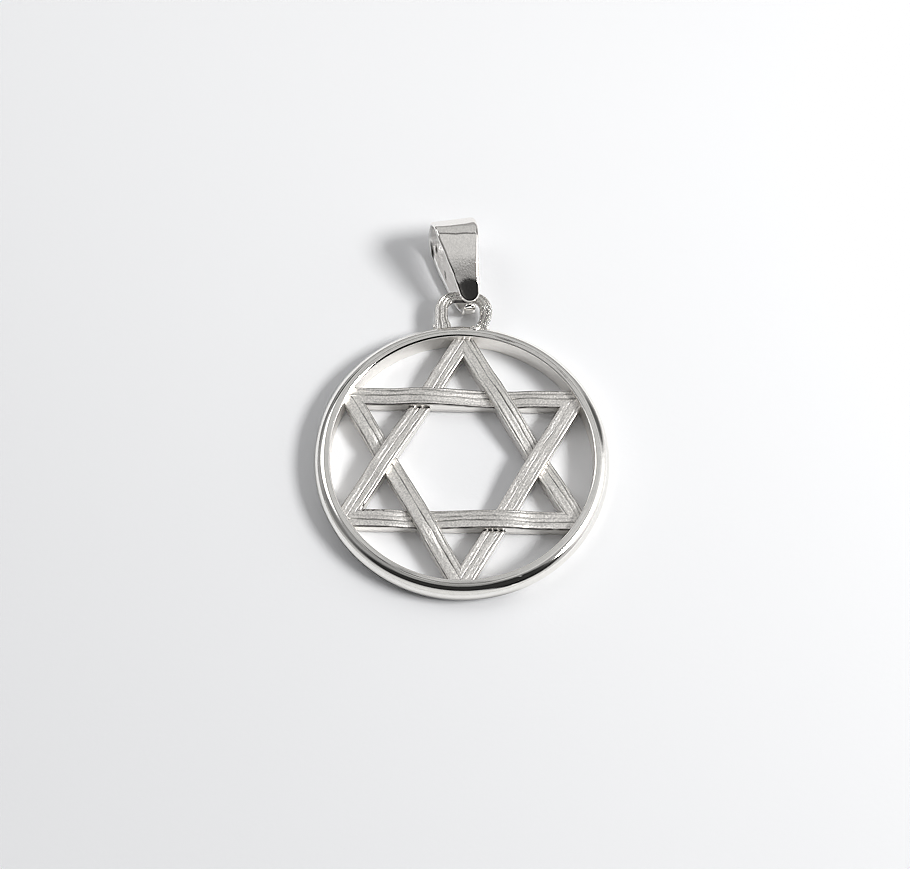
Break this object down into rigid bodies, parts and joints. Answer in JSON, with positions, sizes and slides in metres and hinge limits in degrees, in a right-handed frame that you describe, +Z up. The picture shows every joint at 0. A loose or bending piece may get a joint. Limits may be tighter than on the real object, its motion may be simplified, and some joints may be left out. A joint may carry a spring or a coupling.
{
  "type": "star of david pendant",
  "caption": "Silver pendant: a hexagram of woven grooved straps in a round rim, with a soldered eye and a folded bail that swings on it.",
  "frame": {"origin": "on the surface that the pendant lies on, below the middle of its outline", "axes": "+Z up, out of the pendant's front; +Y along the pendant, from the disc to the bail; +X to the right, seen from the front"},
  "size_m": [0.025, 0.0352, 0.0051],
  "materials": {
    "cast_silver": "sterling silver, cast and filed, with a satin grain on the straps",
    "polished_silver": "sterling silver, polished, with fine wear"
  },
  "bodies": {
    "medallion": {"medallion": "cast_silver"},
    "bail": {"bail": "polished_silver"}
  },
  "joints": [
    {"name": "bail_swing", "type": "hinge", "parent": "medallion", "child": "bail", "pos_m": [0, 0.01035, 0.00135], "axis": [1, 0, 0], "range_deg": [-120, 104]}
  ]
}
